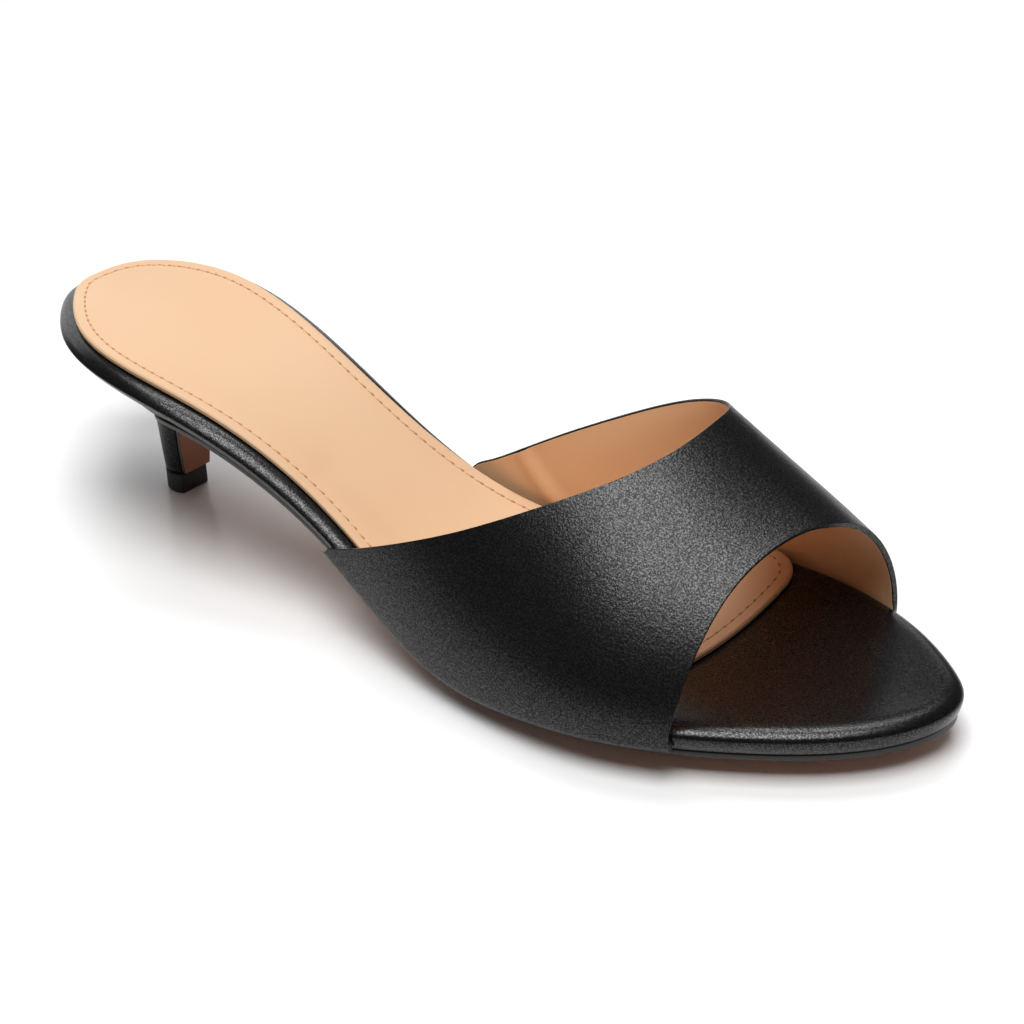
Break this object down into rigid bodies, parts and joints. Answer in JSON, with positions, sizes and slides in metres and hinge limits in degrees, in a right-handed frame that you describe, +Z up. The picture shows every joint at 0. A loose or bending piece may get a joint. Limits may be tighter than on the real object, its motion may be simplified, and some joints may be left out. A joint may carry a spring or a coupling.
{
  "type": "kitten-heel mule",
  "caption": "Backless open-toe slide shoe with one wide leather band over the instep, a stitched sock and a low covered kitten heel.",
  "frame": {"origin": "on the floor, under the middle of the shoe's box", "axes": "+X from heel to toe, +Y to the wearer's left, which is the arch side of this right shoe, +Z up"},
  "size_m": [0.242, 0.0806, 0.0567],
  "materials": {
    "black_leather": "fine grain, semi-gloss",
    "tan_lining": "smooth, matte",
    "tan_sole": "smooth, satin",
    "black_lift": "matte, hard"
  },
  "bodies": {
    "root": {"upper": "black_leather", "footbed": "black_leather", "sock": "tan_lining", "outsole": "tan_sole", "heel": "black_leather", "top_piece": "black_lift"}
  },
  "joints": []
}
